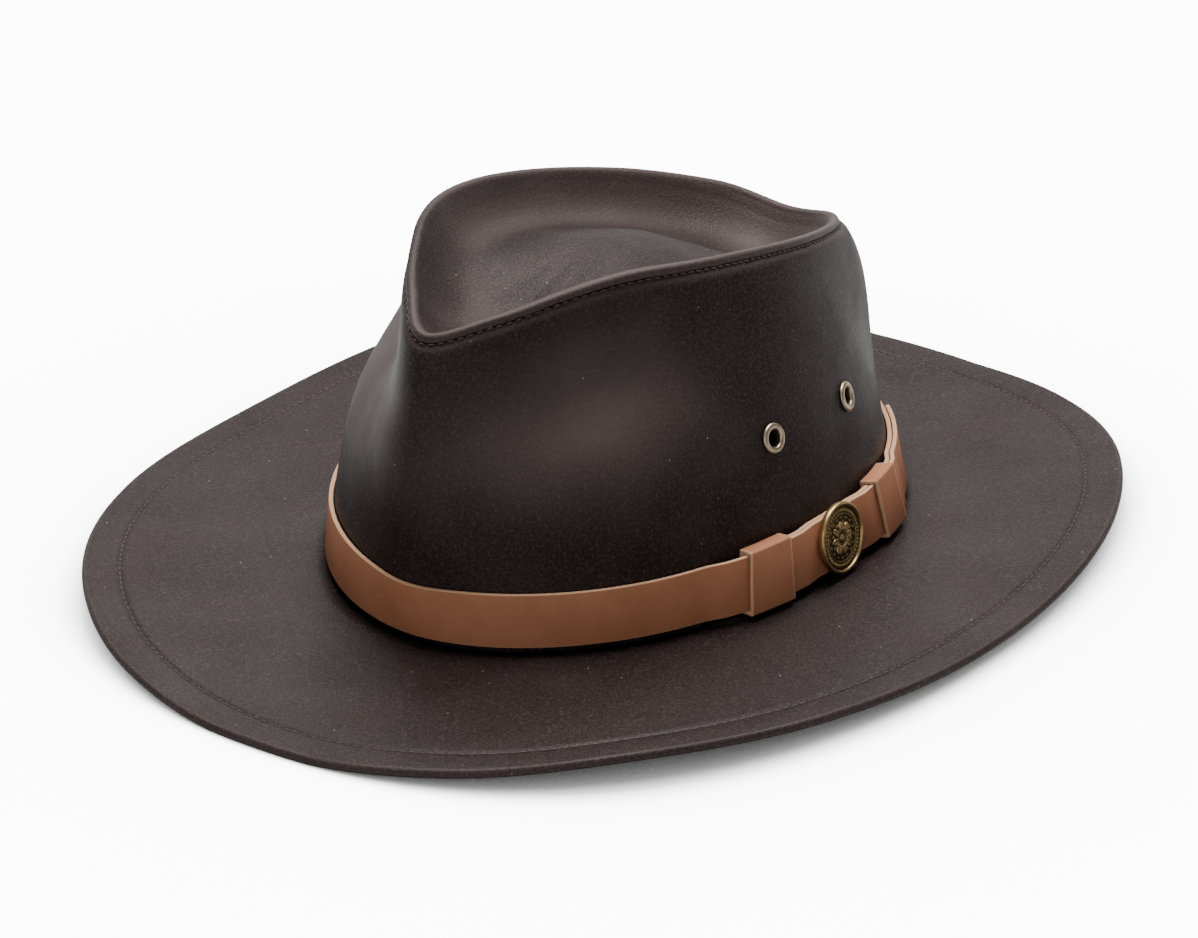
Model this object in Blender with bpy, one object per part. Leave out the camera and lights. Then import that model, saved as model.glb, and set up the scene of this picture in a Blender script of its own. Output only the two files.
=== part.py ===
# Bush hat of waxed cotton: pinched crown, oval brim, leather band with two keepers and a badge.
#
# Metres, +Z up.  The front of the hat is at -Y and the wearer's left is at +X.  The origin is on
# the table under the middle of the brim's outline.  A plan angle runs from the front (0 degrees)
# over the wearer's left (90) to the back (180); the tables below give one side and are mirrored.

import math
from collections import namedtuple

import bmesh
import bpy
from mathutils import Matrix, Vector

# Clearance between sewn, seated or lapped pieces
GAP = 0.0003

# Brim
BRIM_LENGTH = 0.3644
BRIM_WIDTH = 0.3036
BRIM_THICKNESS = 0.0030
BRIM_ROUND = 0.0012
BRIM_SQUARENESS = 2.23
BRIM_LIFT = 0.0094
REST_PRESS = 0.0005

# Head opening and the foot of the crown
HEAD_LENGTH = 0.2102
HEAD_WIDTH = 0.1620
HEAD_SHIFT = 0.0041
FOOT_LIFT = 0.0094
FOOT_SEAT = 0.0080
FOOT_UPRIGHT = 0.0010

# Crown
CROWN_HEIGHT = 0.1183
CROWN_WALL = 0.0018
CROWN_SWELL = 0.0053
CROWN_SHOULDER = 0.0060
TIP_LENGTH = 0.1992
TIP_WIDTH = 0.1083
TIP_SHIFT = 0.0033
WELT_RADIUS = 0.0024
WELT_STAND = 0.0008
WELT_TURN = 115.0
DISH_DEPTH = 0.0140
TIP_MIDDLE_HEIGHT = 0.1130
PINCH_DEPTH = 0.0139

# Leather band
BAND_HEIGHT = 0.0181
BAND_STAND = 0.0008
BAND_LEATHER = 0.0015
KEEPER_LEATHER = 0.0012
KEEPER_WIDTH = 0.0175
KEEPER_MARGIN = 0.0060
KEEPER_EASE = 0.0100
KEEPER_ROUND = 0.0007
SLOT_ROUND = 0.0001
KEEPER_FRONT_ANGLE = 74.0
KEEPER_REAR_ANGLE = 112.5
LAP_START_ANGLE = 74.0
LAP_END_ANGLE = 150.0
LAP_RAMP = 14.0
BAND_LIFT = KEEPER_LEATHER + 2 * GAP + BAND_STAND

# Badge
BADGE_ANGLE = 93.0
BADGE_RADIUS = 0.0117
BADGE_THICKNESS = 0.0024
BADGE_RIM = 0.0013
BADGE_RELIEF = 0.0005
BADGE_POST_RADIUS = 0.0015
BADGE_HEIGHT_ON_BAND = 0.0095
BADGE_PETALS = 8

# Eyelets
EYELET_RADIUS = 0.0050
EYELET_HOLE_RADIUS = 0.0028
EYELET_BARREL_WALL = 0.0004
EYELET_FLANGE = 0.0007
EYELET_INNER_CLEARANCE = 0.0006
EYELET_LEVEL = 0.48
EYELET_FRONT_ANGLE = 82.0
EYELET_REAR_ANGLE = 114.0

# Facets
AROUND = 64
STRAP_STEP = 4.0
WELT_FACETS = 4
SMALL_AROUND = 16
PETAL_FACETS = 4

# Brim edge: lift of its lower side above the table, as a share of BRIM_LIFT
EdgeRow = namedtuple("EdgeRow", "angle lift")
BRIM_EDGE = (
    EdgeRow(0, 0.00),
    EdgeRow(22, 0.44),
    EdgeRow(45, 1.00),
    EdgeRow(68, 0.85),
    EdgeRow(90, 0.56),
    EdgeRow(112, 0.83),
    EdgeRow(135, 0.98),
    EdgeRow(158, 0.43),
    EdgeRow(180, 0.00),
)

# Where crown and brim meet: height of the brim's top, as a share of FOOT_LIFT
FootRow = namedtuple("FootRow", "angle lift")
CROWN_FOOT = (
    FootRow(0, 0.67),
    FootRow(45, 0.87),
    FootRow(90, 1.00),
    FootRow(135, 0.62),
    FootRow(180, 0.37),
)

# Seam between side and tip: reach as a share of the tip's ellipse, height as a share of
# CROWN_HEIGHT
SeamRow = namedtuple("SeamRow", "angle reach height")
TIP_SEAM = (
    SeamRow(0, 0.999, 0.897),
    SeamRow(12, 0.922, 0.937),
    SeamRow(25, 0.910, 0.978),
    SeamRow(40, 0.945, 1.000),
    SeamRow(60, 0.980, 0.992),
    SeamRow(90, 1.000, 0.955),
    SeamRow(120, 1.009, 0.898),
    SeamRow(145, 1.013, 0.828),
    SeamRow(165, 1.020, 0.749),
    SeamRow(180, 1.000, 0.699),
)

# Side wall between its foot and the seam: swell at half height as a share of CROWN_SWELL, swell
# just under the seam as a share of CROWN_SHOULDER
WallRow = namedtuple("WallRow", "angle swell shoulder")
SIDE_WALL = (
    WallRow(0, 0.77, 0.37),
    WallRow(45, 1.00, 0.08),
    WallRow(90, 0.70, -0.15),
    WallRow(135, 0.43, 0.10),
    WallRow(180, 0.43, 1.00),
)

# Soft dents of the side wall: middle and half-width in degrees, middle and half-height as shares
# of the wall's height, depth as a share of PINCH_DEPTH
DentRow = namedtuple("DentRow", "angle spread level span depth")
SIDE_DENTS = (
    DentRow(36, 25, 0.77, 0.185, 1.0),
)

# Tip, from its welt to its middle: reach as a share of that way, drop as a share of DISH_DEPTH
TipRow = namedtuple("TipRow", "reach drop")
TIP_DISH = (
    TipRow(0.07, 0.52),
    TipRow(0.14, 0.84),
    TipRow(0.24, 1.00),
    TipRow(0.38, 0.95),
    TipRow(0.54, 0.79),
    TipRow(0.74, 0.56),
    TipRow(1.00, 0.42),
)

# Levels of the side wall's rings
SIDE_LEVELS = (0.12, 0.27, 0.42, 0.55, 0.66, 0.76, 0.84, 0.91, 0.96, 1.0)

# Shares of the way from the crown's seat to the brim's edge
BRIM_LEVELS = (0.0, 0.33, 0.66, 0.90)

# Rounded edge of the brim, from below: inset as a share of BRIM_ROUND, height as a share of
# BRIM_THICKNESS
RoundRow = namedtuple("RoundRow", "inset height")
BRIM_ROUNDING = (
    RoundRow(1.0, 0.0),
    RoundRow(0.3, 0.2),
    RoundRow(0.0, 0.5),
    RoundRow(0.3, 0.8),
    RoundRow(1.0, 1.0),
)

# Badge edge, from its back: inset from the full radius as a share of BADGE_RIM, height as a share
# of BADGE_THICKNESS
RimRow = namedtuple("RimRow", "inset height")
BADGE_EDGE = (
    RimRow(0.4, 0.0),
    RimRow(0.0, 0.3),
    RimRow(0.0, 0.7),
    RimRow(0.4, 1.0),
    RimRow(0.8, 1.0),
)

# Badge face: radius as a share of the field's, height above the field as a share of BADGE_RELIEF,
# how deep the petals cut into it
FaceRow = namedtuple("FaceRow", "reach height petal")
BADGE_FACE = (
    FaceRow(1.00, 0.0, 0.0),
    FaceRow(0.96, 0.9, 0.0),
    FaceRow(0.86, 0.9, 0.0),
    FaceRow(0.82, 0.0, 0.0),
    FaceRow(0.70, 0.3, 1.0),
    FaceRow(0.45, 1.6, 0.8),
    FaceRow(0.20, 0.8, 0.5),
    FaceRow(0.14, 2.0, 0.0),
)

UP = Vector((0.0, 0.0, 1.0))


# Tables and plan curves

def side_angle(angle):
    # the same place on the wearer's left side, 0 to 180
    return abs((angle + 180.0) % 360.0 - 180.0)


def read_table(rows, column, angle):
    # one column at a plan angle, on a smooth curve through the rows
    angle = side_angle(angle)
    places = [row.angle for row in rows]
    values = [getattr(row, column) for row in rows]
    last = len(rows) - 1
    index = max(i for i in range(last) if places[i] <= angle)
    start, end = places[index], places[index + 1]
    share = (angle - start) / (end - start)

    def slope(i):
        if i == 0 or i == last:
            return 0.0
        return (values[i + 1] - values[i - 1]) / (places[i + 1] - places[i - 1])

    step = end - start
    square, cube = share ** 2, share ** 3
    return (
        values[index] * (2 * cube - 3 * square + 1)
        + slope(index) * step * (cube - 2 * square + share)
        + values[index + 1] * (3 * square - 2 * cube)
        + slope(index + 1) * step * (cube - square)
    )


def ease(share):
    share = min(1.0, max(0.0, share))
    return share * share * (3.0 - 2.0 * share)


def plan_point(angle, half_length, half_width, power=2.0):
    # point of an oval; power 2 is an ellipse, more is squarer
    turn = math.radians(angle)
    across, along = math.sin(turn), math.cos(turn)
    return Vector((
        half_width * math.copysign(abs(across) ** (2.0 / power), across),
        -half_length * math.copysign(abs(along) ** (2.0 / power), along),
        0.0,
    ))


def head_normal(angle):
    turn = math.radians(angle)
    return Vector((HEAD_LENGTH * math.sin(turn), -HEAD_WIDTH * math.cos(turn), 0.0)).normalized()


def head_point(angle, out):
    # point at a level distance outside the head opening
    point = plan_point(angle, HEAD_LENGTH / 2, HEAD_WIDTH / 2)
    return point + head_normal(angle) * out + Vector((0.0, HEAD_SHIFT, 0.0))


def foot_height(angle):
    return FOOT_LIFT * read_table(CROWN_FOOT, "lift", angle)


def seam_point(angle):
    turn = math.radians(angle)
    radius = 1.0 / math.hypot(2 * math.cos(turn) / TIP_LENGTH, 2 * math.sin(turn) / TIP_WIDTH)
    radius *= read_table(TIP_SEAM, "reach", angle)
    return Vector((
        radius * math.sin(turn),
        TIP_SHIFT - radius * math.cos(turn),
        CROWN_HEIGHT * read_table(TIP_SEAM, "height", angle),
    ))


# Side wall of the crown

def upright_level(angle):
    # level at which the wall's short upright foot ends
    return FOOT_UPRIGHT / (seam_point(angle).z - foot_height(angle) - GAP)


def side_point(angle, level):
    # outer face of the side wall; level 0 is its lower edge and 1 the tip seam
    foot = head_point(angle, CROWN_WALL)
    foot.z = foot_height(angle) + GAP
    seam = seam_point(angle)
    upright = upright_level(angle)
    if level <= upright:
        return foot + UP * (FOOT_UPRIGHT * level / upright)
    level = (level - upright) / (1.0 - upright)
    point = (foot + UP * FOOT_UPRIGHT).lerp(seam, level)
    # curves that are 0 at both ends and reach 1 at half and at three quarters of the height
    bulge = 4.0 * level * (1.0 - level)
    shoulder = 256.0 / 27.0 * level ** 3 * (1.0 - level)
    swell = CROWN_SWELL * read_table(SIDE_WALL, "swell", angle) * bulge
    swell += CROWN_SHOULDER * read_table(SIDE_WALL, "shoulder", angle) * shoulder
    for dent in SIDE_DENTS:
        across = (side_angle(angle) - dent.angle) / dent.spread
        along = (level - dent.level) / dent.span
        swell -= PINCH_DEPTH * dent.depth * math.exp(-across ** 2 - along ** 2)
    return point + head_normal(angle) * swell


def side_frame(angle, level, step=0.002):
    # point, outward normal and upward direction of the side wall
    low, high = max(0.0, level - step), min(1.0, level + step)
    upward = (side_point(angle, high) - side_point(angle, low)).normalized()
    along = side_point(angle + 0.5, level) - side_point(angle - 0.5, level)
    outward = along.cross(upward).normalized()
    return side_point(angle, level), outward, upward


def wall_level(angle, height):
    # level of the side wall at a height above the top of the brim
    return (height - GAP) / (seam_point(angle).z - foot_height(angle) - GAP)


def wall_place(angle, height, out):
    # point outside the side wall, on the straight line up along it on which a stiff strap stands
    low, normal_low, _ = side_frame(angle, wall_level(angle, BAND_LIFT))
    high, normal_high, _ = side_frame(angle, wall_level(angle, BAND_LIFT + BAND_HEIGHT))
    upward = (high - low).normalized()
    outward = (normal_low + normal_high).normalized()
    middle = side_point(angle, wall_level(angle, BAND_LIFT + BAND_HEIGHT / 2))
    bow = max(0.0, (middle - low).dot(outward), (high - low).dot(outward))
    return low + upward * (height - BAND_LIFT) + outward * (out + bow)


# Mesh helpers

def loft(mesh, rings, closed_stack=False):
    # skin through rings of points that match one to one
    stack = [[mesh.verts.new(point) for point in ring] for ring in rings]
    pairs = list(zip(stack, stack[1:]))
    if closed_stack:
        pairs.append((stack[-1], stack[0]))
    count = len(stack[0])
    for low, high in pairs:
        for i in range(count):
            j = (i + 1) % count
            mesh.faces.new((low[i], low[j], high[j], high[i]))
    return stack


def finish(mesh, name, finish_name, smooth_angle=35.0):
    bmesh.ops.recalc_face_normals(mesh, faces=mesh.faces)
    data = bpy.data.meshes.new(name)
    mesh.to_mesh(data)
    mesh.free()
    data.shade_smooth()
    data.set_sharp_from_angle(angle=math.radians(smooth_angle))
    data.materials.append(material(finish_name))
    thing = bpy.data.objects.new(name, data)
    bpy.context.collection.objects.link(thing)
    return thing


FINISHES = {
    "waxed_cotton": ((0.040, 0.026, 0.022), 0.75, 0.0),
    "strap_leather": ((0.190, 0.075, 0.032), 0.50, 0.0),
    "antique_brass": ((0.230, 0.160, 0.080), 0.40, 1.0),
}


def material(name):
    found = bpy.data.materials.get(name)
    if found:
        return found
    colour, roughness, metallic = FINISHES[name]
    made = bpy.data.materials.new(name)
    made.use_nodes = True
    shader = made.node_tree.nodes["Principled BSDF"]
    shader.inputs["Base Color"].default_value = (*colour, 1.0)
    shader.inputs["Roughness"].default_value = roughness
    shader.inputs["Metallic"].default_value = metallic
    return made


def angles(count=AROUND):
    return [360.0 * i / count for i in range(count)]


def add_wall(thing, thickness):
    wall = thing.modifiers.new("wall", "SOLIDIFY")
    wall.thickness = thickness
    wall.offset = -1.0
    wall.use_even_offset = True
    wall.use_quality_normals = True


# Pieces

def make_brim():
    mesh = bmesh.new()

    def underside(angle, level):
        inner = head_point(angle, FOOT_SEAT)
        outer = plan_point(angle, BRIM_LENGTH / 2, BRIM_WIDTH / 2, BRIM_SQUARENESS)
        inner.z = foot_height(angle) - BRIM_THICKNESS
        outer.z = BRIM_LIFT * read_table(BRIM_EDGE, "lift", angle) - REST_PRESS
        point = inner.lerp(outer, level)
        point.z = max(0.0, point.z)
        return point

    def edge_ring(inset, height):
        ring = []
        for angle in angles():
            outer = underside(angle, 1.0)
            inward = head_point(angle, 0.0) - outer
            inward.z = 0.0
            ring.append(outer + inward.normalized() * inset + UP * height)
        return ring

    def flat_ring(height):
        ring = []
        for angle in angles():
            point = head_point(angle, 0.0)
            point.z = max(0.0, foot_height(angle) - BRIM_THICKNESS) + height
            ring.append(point)
        return ring

    rings = [flat_ring(0.0)]
    rings.extend([underside(angle, level) for angle in angles()] for level in BRIM_LEVELS)
    rings.extend(edge_ring(BRIM_ROUND * row.inset, BRIM_THICKNESS * row.height) for row in BRIM_ROUNDING)
    for level in reversed(BRIM_LEVELS):
        rings.append([underside(angle, level) + UP * BRIM_THICKNESS for angle in angles()])
    rings.append(flat_ring(BRIM_THICKNESS))
    loft(mesh, rings, closed_stack=True)
    return finish(mesh, "brim", "waxed_cotton")


def make_crown_side():
    mesh = bmesh.new()
    columns = []
    for angle in angles():
        levels = (0.0, upright_level(angle)) + SIDE_LEVELS
        columns.append([side_point(angle, level) for level in levels])
    loft(mesh, list(zip(*columns)))
    side = finish(mesh, "crown_side", "waxed_cotton")
    add_wall(side, CROWN_WALL)
    return side


def welt_points(angle):
    # the tip's edge over the seam: a short upright stand, then a roll inwards
    seam, outward, upward = side_frame(angle, 1.0, 1.0 - SIDE_LEVELS[-2])
    hub = seam + upward * (GAP + WELT_STAND) - outward * WELT_RADIUS
    points = [seam + upward * GAP]
    for i in range(WELT_FACETS + 1):
        turn = math.radians(WELT_TURN * i / WELT_FACETS)
        points.append(hub + WELT_RADIUS * (outward * math.cos(turn) + upward * math.sin(turn)))
    return points


def tip_point(angle, lip, lean, row):
    # the tip between its welt and its middle: a leaning plane, the rest of the welt's height
    # fading out towards the middle, and the dish below both
    middle = Vector((0.0, TIP_SHIFT, TIP_MIDDLE_HEIGHT))
    point = lip.lerp(middle, row.reach)
    lean *= math.cos(math.radians(angle))
    fade = (1.0 - row.reach) ** 2 * (1.0 + 2.0 * row.reach)
    point.z = middle.z + (1.0 - row.reach) * lean + fade * (lip.z - middle.z - lean)
    return point - UP * DISH_DEPTH * row.drop


def make_crown_tip():
    mesh = bmesh.new()
    lean = (welt_points(0.0)[-1].z - welt_points(180.0)[-1].z) / 2
    columns = []
    for angle in angles():
        column = welt_points(angle)
        lip = column[-1]
        column += [tip_point(angle, lip, lean, row) for row in TIP_DISH[:-1]]
        columns.append(column)
    stack = loft(mesh, list(zip(*columns)))
    cap = mesh.faces.new(stack[-1])
    poked = bmesh.ops.poke(mesh, faces=[cap])
    poked["verts"][0].co = tip_point(0.0, welt_points(0.0)[-1], lean, TIP_DISH[-1])
    tip = finish(mesh, "crown_tip", "waxed_cotton")
    add_wall(tip, CROWN_WALL)
    return tip


def keeper_ease(angle):
    # how far the strap stands off the crown so that a keeper's inner leg passes behind it
    stand = 0.0
    for middle in (KEEPER_FRONT_ANGLE, KEEPER_REAR_ANGLE):
        reach = math.radians(side_angle(angle - middle)) * arc_radius(middle)
        past = reach - KEEPER_WIDTH / 2 - KEEPER_MARGIN
        stand = max(stand, (KEEPER_LEATHER + GAP) * (1.0 - ease(past / KEEPER_EASE)))
    return stand


def arc_radius(angle):
    # length of the head oval's outline per radian there
    step = 0.5
    chord = (head_point(angle + step, CROWN_WALL) - head_point(angle - step, CROWN_WALL)).length
    return chord / math.radians(2 * step)


def strap_inner(angle):
    # distance of the strap's inner face from the crown; angle passes 360 on the second turn
    start = LAP_START_ANGLE + 360.0
    lap = ease((angle - start + LAP_RAMP) / LAP_RAMP)
    return GAP + keeper_ease(angle) + lap * (BAND_LEATHER + GAP)


def make_hat_band():
    mesh = bmesh.new()
    total = 360.0 + LAP_END_ANGLE - LAP_START_ANGLE
    steps = round(total / STRAP_STEP)
    rings = []
    for i in range(steps + 1):
        angle = LAP_START_ANGLE + total * i / steps
        inner = strap_inner(angle)
        outer = inner + BAND_LEATHER
        low, high = BAND_LIFT, BAND_LIFT + BAND_HEIGHT
        corners = ((low, inner), (low, outer), (high, outer), (high, inner))
        rings.append([wall_place(angle, height, out) for height, out in corners])
    stack = loft(mesh, rings)
    mesh.faces.new(stack[0])
    mesh.faces.new(reversed(stack[-1]))
    band = finish(mesh, "hat_band", "strap_leather")
    through = KEEPER_LEATHER + 2 * BAND_LEATHER + 4 * GAP
    cut(band, make_cutter("post_hole", BADGE_POST_RADIUS + GAP, badge_matrix(), through))
    return band


def make_keeper(name, middle):
    mesh = bmesh.new()
    half = math.degrees(KEEPER_WIDTH / 2 / arc_radius(middle))
    spread = [middle - half + half * i / 2 for i in range(5)]
    inner_rings, outer_rings = [], []
    for angle in spread:
        inner = strap_inner(angle) - GAP
        outer = inner + 2 * BAND_LEATHER + 3 * GAP
        low, high = BAND_LIFT - GAP, BAND_LIFT + BAND_HEIGHT + GAP
        slot = ((low, inner), (low, outer), (high, outer), (high, inner))
        inner_rings.append(loop_points(angle, slot, 0.0))
        outer_rings.append(loop_points(angle, slot, KEEPER_LEATHER))
    loft(mesh, outer_rings + inner_rings[::-1], closed_stack=True)
    return finish(mesh, name, "strap_leather")


def loop_points(angle, slot, grow):
    # rounded loop round a slot, two points at each corner
    (low, inner), (_, outer), (high, _), _ = slot
    low, inner, high, outer = low - grow, inner - grow, high + grow, outer + grow
    cut_off = KEEPER_ROUND if grow else SLOT_ROUND
    corners = (
        (low + cut_off, inner), (low, inner + cut_off),
        (low, outer - cut_off), (low + cut_off, outer),
        (high - cut_off, outer), (high, outer - cut_off),
        (high, inner + cut_off), (high - cut_off, inner),
    )
    return [wall_place(angle, height, out) for height, out in corners]


def stand_matrix(point, outward, upward):
    # placement whose Z points out of the wall and whose Y points up along it
    side = upward.cross(outward).normalized()
    upward = outward.cross(side).normalized()
    turn = Matrix((side, upward, outward)).transposed()
    return Matrix.Translation(point) @ turn.to_4x4()


def badge_matrix():
    outer = strap_inner(BADGE_ANGLE + 360.0) + BAND_LEATHER + GAP
    low = wall_place(BADGE_ANGLE, BAND_LIFT, outer)
    high = wall_place(BADGE_ANGLE, BAND_LIFT + BAND_HEIGHT, outer)
    upward = (high - low).normalized()
    before, after = (wall_place(BADGE_ANGLE + step, BAND_LIFT, outer) for step in (-1.0, 1.0))
    outward = (after - before).cross(upward).normalized()
    return stand_matrix(low + upward * BADGE_HEIGHT_ON_BAND, outward, upward)


def turned(mesh, profile, around, shape=None):
    # rings round Z from (radius, height) pairs; shape may change a height by ring and turn
    rings = []
    for row, (radius, height) in enumerate(profile):
        ring = []
        for i in range(around):
            turn = 2 * math.pi * i / around
            rise = height + (shape(row, turn) if shape else 0.0)
            ring.append(Vector((radius * math.cos(turn), radius * math.sin(turn), rise)))
        rings.append(ring)
    return loft(mesh, rings)


def make_badge():
    mesh = bmesh.new()
    around = BADGE_PETALS * PETAL_FACETS
    field = BADGE_RADIUS - BADGE_RIM
    floor = BADGE_THICKNESS - BADGE_RELIEF * 2
    post_length = strap_inner(BADGE_ANGLE + 360.0) + BAND_LEATHER
    edge = [(BADGE_POST_RADIUS, -post_length), (BADGE_POST_RADIUS, 0.0)]
    edge += [(BADGE_RADIUS - BADGE_RIM * row.inset, BADGE_THICKNESS * row.height) for row in BADGE_EDGE]
    face = [(field * row.reach, floor + BADGE_RELIEF * row.height) for row in BADGE_FACE]

    def petals(row, turn):
        row -= len(edge)
        if row < 0:
            return 0.0
        return -BADGE_RELIEF * BADGE_FACE[row].petal * (0.5 - 0.5 * math.cos(BADGE_PETALS * turn))

    stack = turned(mesh, edge + face, around, petals)
    mesh.faces.new(stack[0][::-1])
    mesh.faces.new(stack[-1])
    badge = finish(mesh, "badge", "antique_brass", 50.0)
    badge.matrix_world = badge_matrix()
    return badge


def eyelet_matrix(angle):
    point, outward, upward = side_frame(angle, EYELET_LEVEL)
    return stand_matrix(point, outward, upward)


def make_eyelet(name, angle):
    mesh = bmesh.new()
    bore = EYELET_HOLE_RADIUS
    barrel = bore + EYELET_BARREL_WALL
    crest = (EYELET_RADIUS + barrel) / 2
    back = -CROWN_WALL - EYELET_INNER_CLEARANCE
    profile = [
        (bore, back - EYELET_FLANGE),
        (EYELET_RADIUS, back - EYELET_FLANGE),
        (EYELET_RADIUS, back),
        (barrel, back),
        (barrel, GAP),
        (EYELET_RADIUS, GAP),
        (EYELET_RADIUS - 0.2 * EYELET_FLANGE, GAP + 0.6 * EYELET_FLANGE),
        (crest, GAP + EYELET_FLANGE),
        (barrel, GAP + 0.8 * EYELET_FLANGE),
        (bore, GAP + 0.3 * EYELET_FLANGE),
    ]
    rings = []
    for radius, height in profile:
        turns = [2 * math.pi * i / SMALL_AROUND for i in range(SMALL_AROUND)]
        rings.append([Vector((radius * math.cos(t), radius * math.sin(t), height)) for t in turns])
    loft(mesh, rings, closed_stack=True)
    eyelet = finish(mesh, name, "antique_brass")
    eyelet.matrix_world = eyelet_matrix(angle)
    return eyelet


def make_cutter(name, radius, place, reach):
    # round bar that reaches as far below its placement as above it
    mesh = bmesh.new()
    bmesh.ops.create_cone(
        mesh, cap_ends=True, segments=SMALL_AROUND, radius1=radius, radius2=radius, depth=2 * reach,
    )
    data = bpy.data.meshes.new(name)
    mesh.to_mesh(data)
    mesh.free()
    cutter = bpy.data.objects.new(name, data)
    bpy.context.collection.objects.link(cutter)
    cutter.matrix_world = place
    cutter.hide_render = True
    cutter.display_type = "WIRE"
    return cutter


def cut(thing, cutter):
    hole = thing.modifiers.new(cutter.name, "BOOLEAN")
    hole.operation = "DIFFERENCE"
    hole.object = cutter


def main():
    for thing in list(bpy.data.objects):
        bpy.data.objects.remove(thing, do_unlink=True)
    make_brim()
    side = make_crown_side()
    make_crown_tip()
    make_hat_band()
    make_keeper("keeper_front", KEEPER_FRONT_ANGLE)
    make_keeper("keeper_rear", KEEPER_REAR_ANGLE)
    make_badge()
    eyelets = {
        "left_front": EYELET_FRONT_ANGLE,
        "left_rear": EYELET_REAR_ANGLE,
        "right_front": -EYELET_FRONT_ANGLE,
        "right_rear": -EYELET_REAR_ANGLE,
    }
    hole = EYELET_HOLE_RADIUS + EYELET_BARREL_WALL + GAP
    for place, angle in eyelets.items():
        make_eyelet("eyelet_" + place, angle)
        cut(side, make_cutter("hole_" + place, hole, eyelet_matrix(angle), 2 * CROWN_WALL))


main()
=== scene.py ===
# Bush hat of waxed cotton with a leather band, two keepers, a brass badge and vent eyelets.
# Metres, +Z up, front of the hat at -Y, wearer's left at +X. Plan angles run from the front (0)
# over the wearer's left (90) to the back (180).

import functools
import math

import bmesh
import bpy
from mathutils import Matrix, Vector, noise


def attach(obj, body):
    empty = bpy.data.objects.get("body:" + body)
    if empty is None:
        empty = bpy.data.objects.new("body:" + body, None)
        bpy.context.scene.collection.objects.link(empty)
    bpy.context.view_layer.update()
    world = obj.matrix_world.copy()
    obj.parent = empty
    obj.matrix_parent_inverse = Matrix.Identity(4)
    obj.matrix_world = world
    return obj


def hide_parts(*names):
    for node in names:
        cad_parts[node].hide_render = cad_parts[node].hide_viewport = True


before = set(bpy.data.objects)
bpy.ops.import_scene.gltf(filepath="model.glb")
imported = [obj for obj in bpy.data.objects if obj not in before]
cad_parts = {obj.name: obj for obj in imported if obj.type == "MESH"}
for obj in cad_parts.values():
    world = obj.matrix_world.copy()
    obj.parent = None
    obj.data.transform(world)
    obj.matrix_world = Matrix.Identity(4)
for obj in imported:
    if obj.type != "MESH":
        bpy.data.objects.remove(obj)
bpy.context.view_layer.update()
print("frame loaded")

up = Vector((0.0, 0.0, 1.0))


# Form of the hat, with the sizes of its frame

hatForm = {
    "gap": 0.0003,
    "brimLength": 0.3644,
    "brimWidth": 0.3036,
    "brimThickness": 0.0030,
    "brimSquareness": 2.23,
    "brimLift": 0.0094,
    "restPress": 0.0005,
    "headLength": 0.2102,
    "headWidth": 0.1620,
    "headShift": 0.0041,
    "footLift": 0.0094,
    "footSeat": 0.0080,
    "footUpright": 0.0010,
    "crownHeight": 0.1183,
    "crownWall": 0.0018,
    "swell": 0.0053,
    "shoulder": 0.0060,
    "tipLength": 0.1992,
    "tipWidth": 0.1083,
    "tipShift": 0.0033,
    "tipMiddle": 0.1130,
    "dishDepth": 0.0140,
    "pinchDepth": 0.0139,
}

# places round the hat, and what each table holds there
edgeLift = ((0, 22, 45, 68, 90, 112, 135, 158, 180), (0.0, 0.44, 1.0, 0.85, 0.56, 0.83, 0.98, 0.43, 0.0))
footLift = ((0, 45, 90, 135, 180), (0.67, 0.87, 1.0, 0.62, 0.37))
seamReach = ((0, 12, 25, 40, 60, 90, 120, 145, 165, 180),
             (0.999, 0.922, 0.910, 0.945, 0.980, 1.0, 1.009, 1.013, 1.020, 1.0))
seamHeight = ((0, 12, 25, 40, 60, 90, 120, 145, 165, 180),
              (0.897, 0.937, 0.978, 1.0, 0.992, 0.955, 0.898, 0.828, 0.749, 0.699))
wallSwell = ((0, 45, 90, 135, 180), (0.77, 1.0, 0.70, 0.43, 0.43))
wallShoulder = ((0, 45, 90, 135, 180), (0.37, 0.08, -0.15, 0.10, 1.0))
tipDish = ((0.0, 0.07, 0.14, 0.24, 0.38, 0.54, 0.74, 1.0), (0.0, 0.52, 0.84, 1.0, 0.95, 0.79, 0.56, 0.42))
pinch = {"angle": 36.0, "spread": 25.0, "level": 0.77, "span": 0.185}


def smoothCurve(table, place):
    places, values = table
    last = len(places) - 1
    place = min(max(place, places[0]), places[-1])
    index = max(i for i in range(last) if places[i] <= place)
    step = places[index + 1] - places[index]
    share = (place - places[index]) / step

    def slope(i):
        if i == 0 or i == last:
            return 0.0
        return (values[i + 1] - values[i - 1]) / (places[i + 1] - places[i - 1])

    square, cube = share ** 2, share ** 3
    return (values[index] * (2 * cube - 3 * square + 1) + slope(index) * step * (cube - 2 * square + share)
            + values[index + 1] * (3 * square - 2 * cube) + slope(index + 1) * step * (cube - square))


def columnAngle(column, columns):
    return 360.0 * (column % columns) / columns


def ease(share):
    share = min(1.0, max(0.0, share))
    return share * share * (3.0 - 2.0 * share)


def hump(distance, width):
    return math.exp(-(distance / width) ** 2)


def sideAngle(angle):
    return abs((angle + 180.0) % 360.0 - 180.0)


def ovalPoint(angle, halfLength, halfWidth, power=2.0):
    across, along = math.sin(math.radians(angle)), math.cos(math.radians(angle))
    return Vector((
        halfWidth * math.copysign(abs(across) ** (2.0 / power), across),
        -halfLength * math.copysign(abs(along) ** (2.0 / power), along),
        0.0,
    ))


@functools.lru_cache(maxsize=None)
def headNormal(angle):
    turn = math.radians(angle)
    normal = Vector((hatForm["headLength"] * math.sin(turn), -hatForm["headWidth"] * math.cos(turn), 0.0))
    return normal.normalized()


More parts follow.
